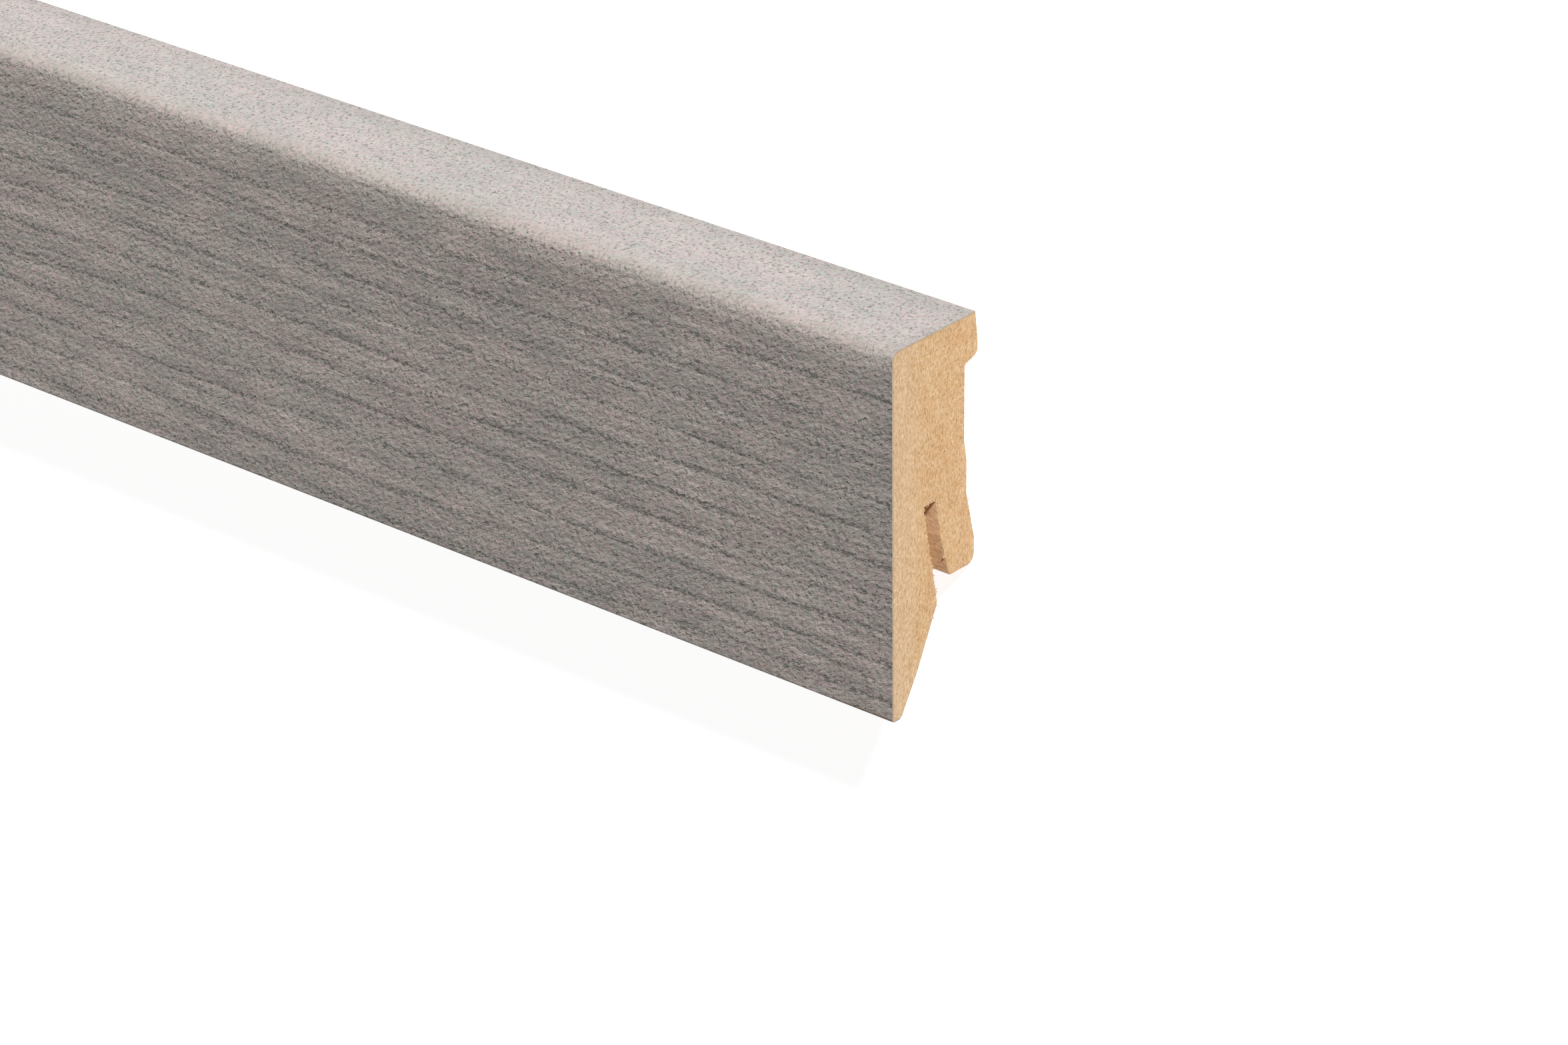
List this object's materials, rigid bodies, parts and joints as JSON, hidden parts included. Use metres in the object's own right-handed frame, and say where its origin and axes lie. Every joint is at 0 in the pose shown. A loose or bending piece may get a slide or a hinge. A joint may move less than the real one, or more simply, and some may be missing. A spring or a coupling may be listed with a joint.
{
  "type": "skirting board length",
  "caption": "Decor-wrapped MDF skirting board length with a rounded top edge, a relieved back and a slanted slot behind its lip for hidden mounting clips.",
  "frame": {"origin": "under the middle of the board, on the plane that it lies on", "axes": "+X along the length, towards the end that the picture shows; +Y towards the top edge; +Z out of the decor face"},
  "size_m": [2.4, 0.058, 0.019],
  "materials": {
    "mdf": "raw sawn and milled MDF",
    "decor": "matt embossed grey decor foil"
  },
  "bodies": {
    "root": {"mdf_core": "mdf", "decor_foil": "decor"}
  },
  "joints": []
}
